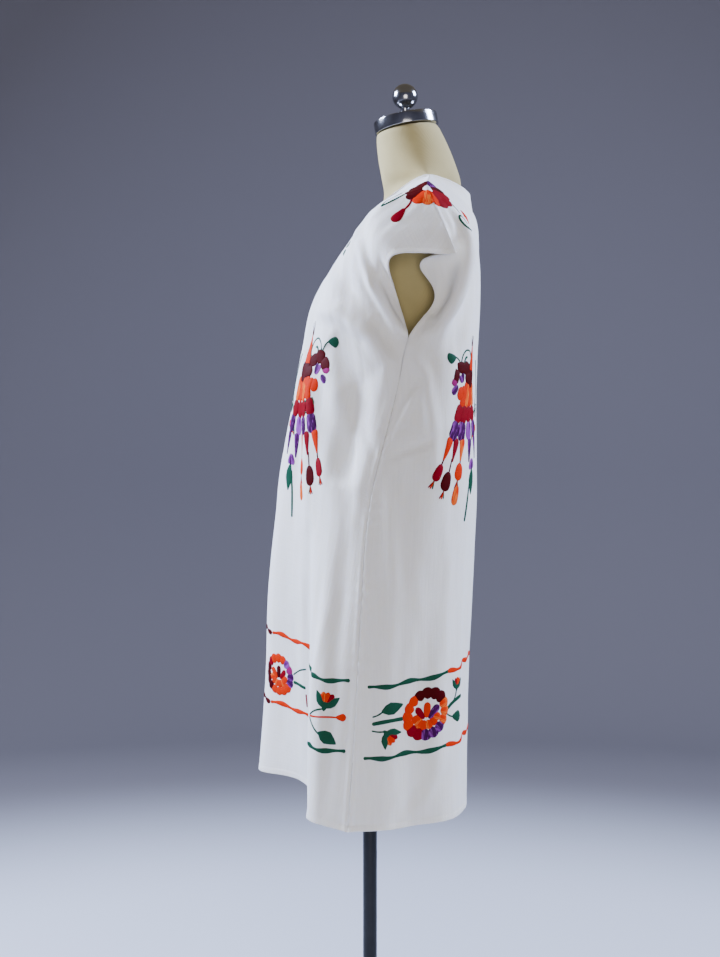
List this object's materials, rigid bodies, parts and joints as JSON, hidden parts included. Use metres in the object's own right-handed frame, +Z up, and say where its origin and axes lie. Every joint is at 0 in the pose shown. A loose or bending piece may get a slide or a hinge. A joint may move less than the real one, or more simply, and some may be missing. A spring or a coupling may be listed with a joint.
{
  "type": "caftan dress on a limbless dress form",
  "caption": "Short embroidered cotton caftan dress with cut-in-one cap sleeves, hanging on a limbless dress form with a pole and a round floor plate.",
  "frame": {"origin": "on the floor, under the middle of the stand's pole", "axes": "+Z up, -Y towards the wearer's front, +X towards the wearer's left"},
  "size_m": [0.478, 0.34, 1.4626],
  "materials": {
    "cotton": "plain woven cotton, soft crinkle",
    "embroidery": "stranded embroidery floss, satin stitch",
    "jersey": "smooth knitted cover",
    "steel": "polished",
    "black_steel": "satin enamel"
  },
  "bodies": {
    "root": {"front": "cotton", "back": "cotton", "form_torso": "jersey", "neck_cap": "steel", "neck_finial": "steel", "flange": "black_steel", "pole": "black_steel", "floor_plate": "black_steel"}
  },
  "joints": []
}
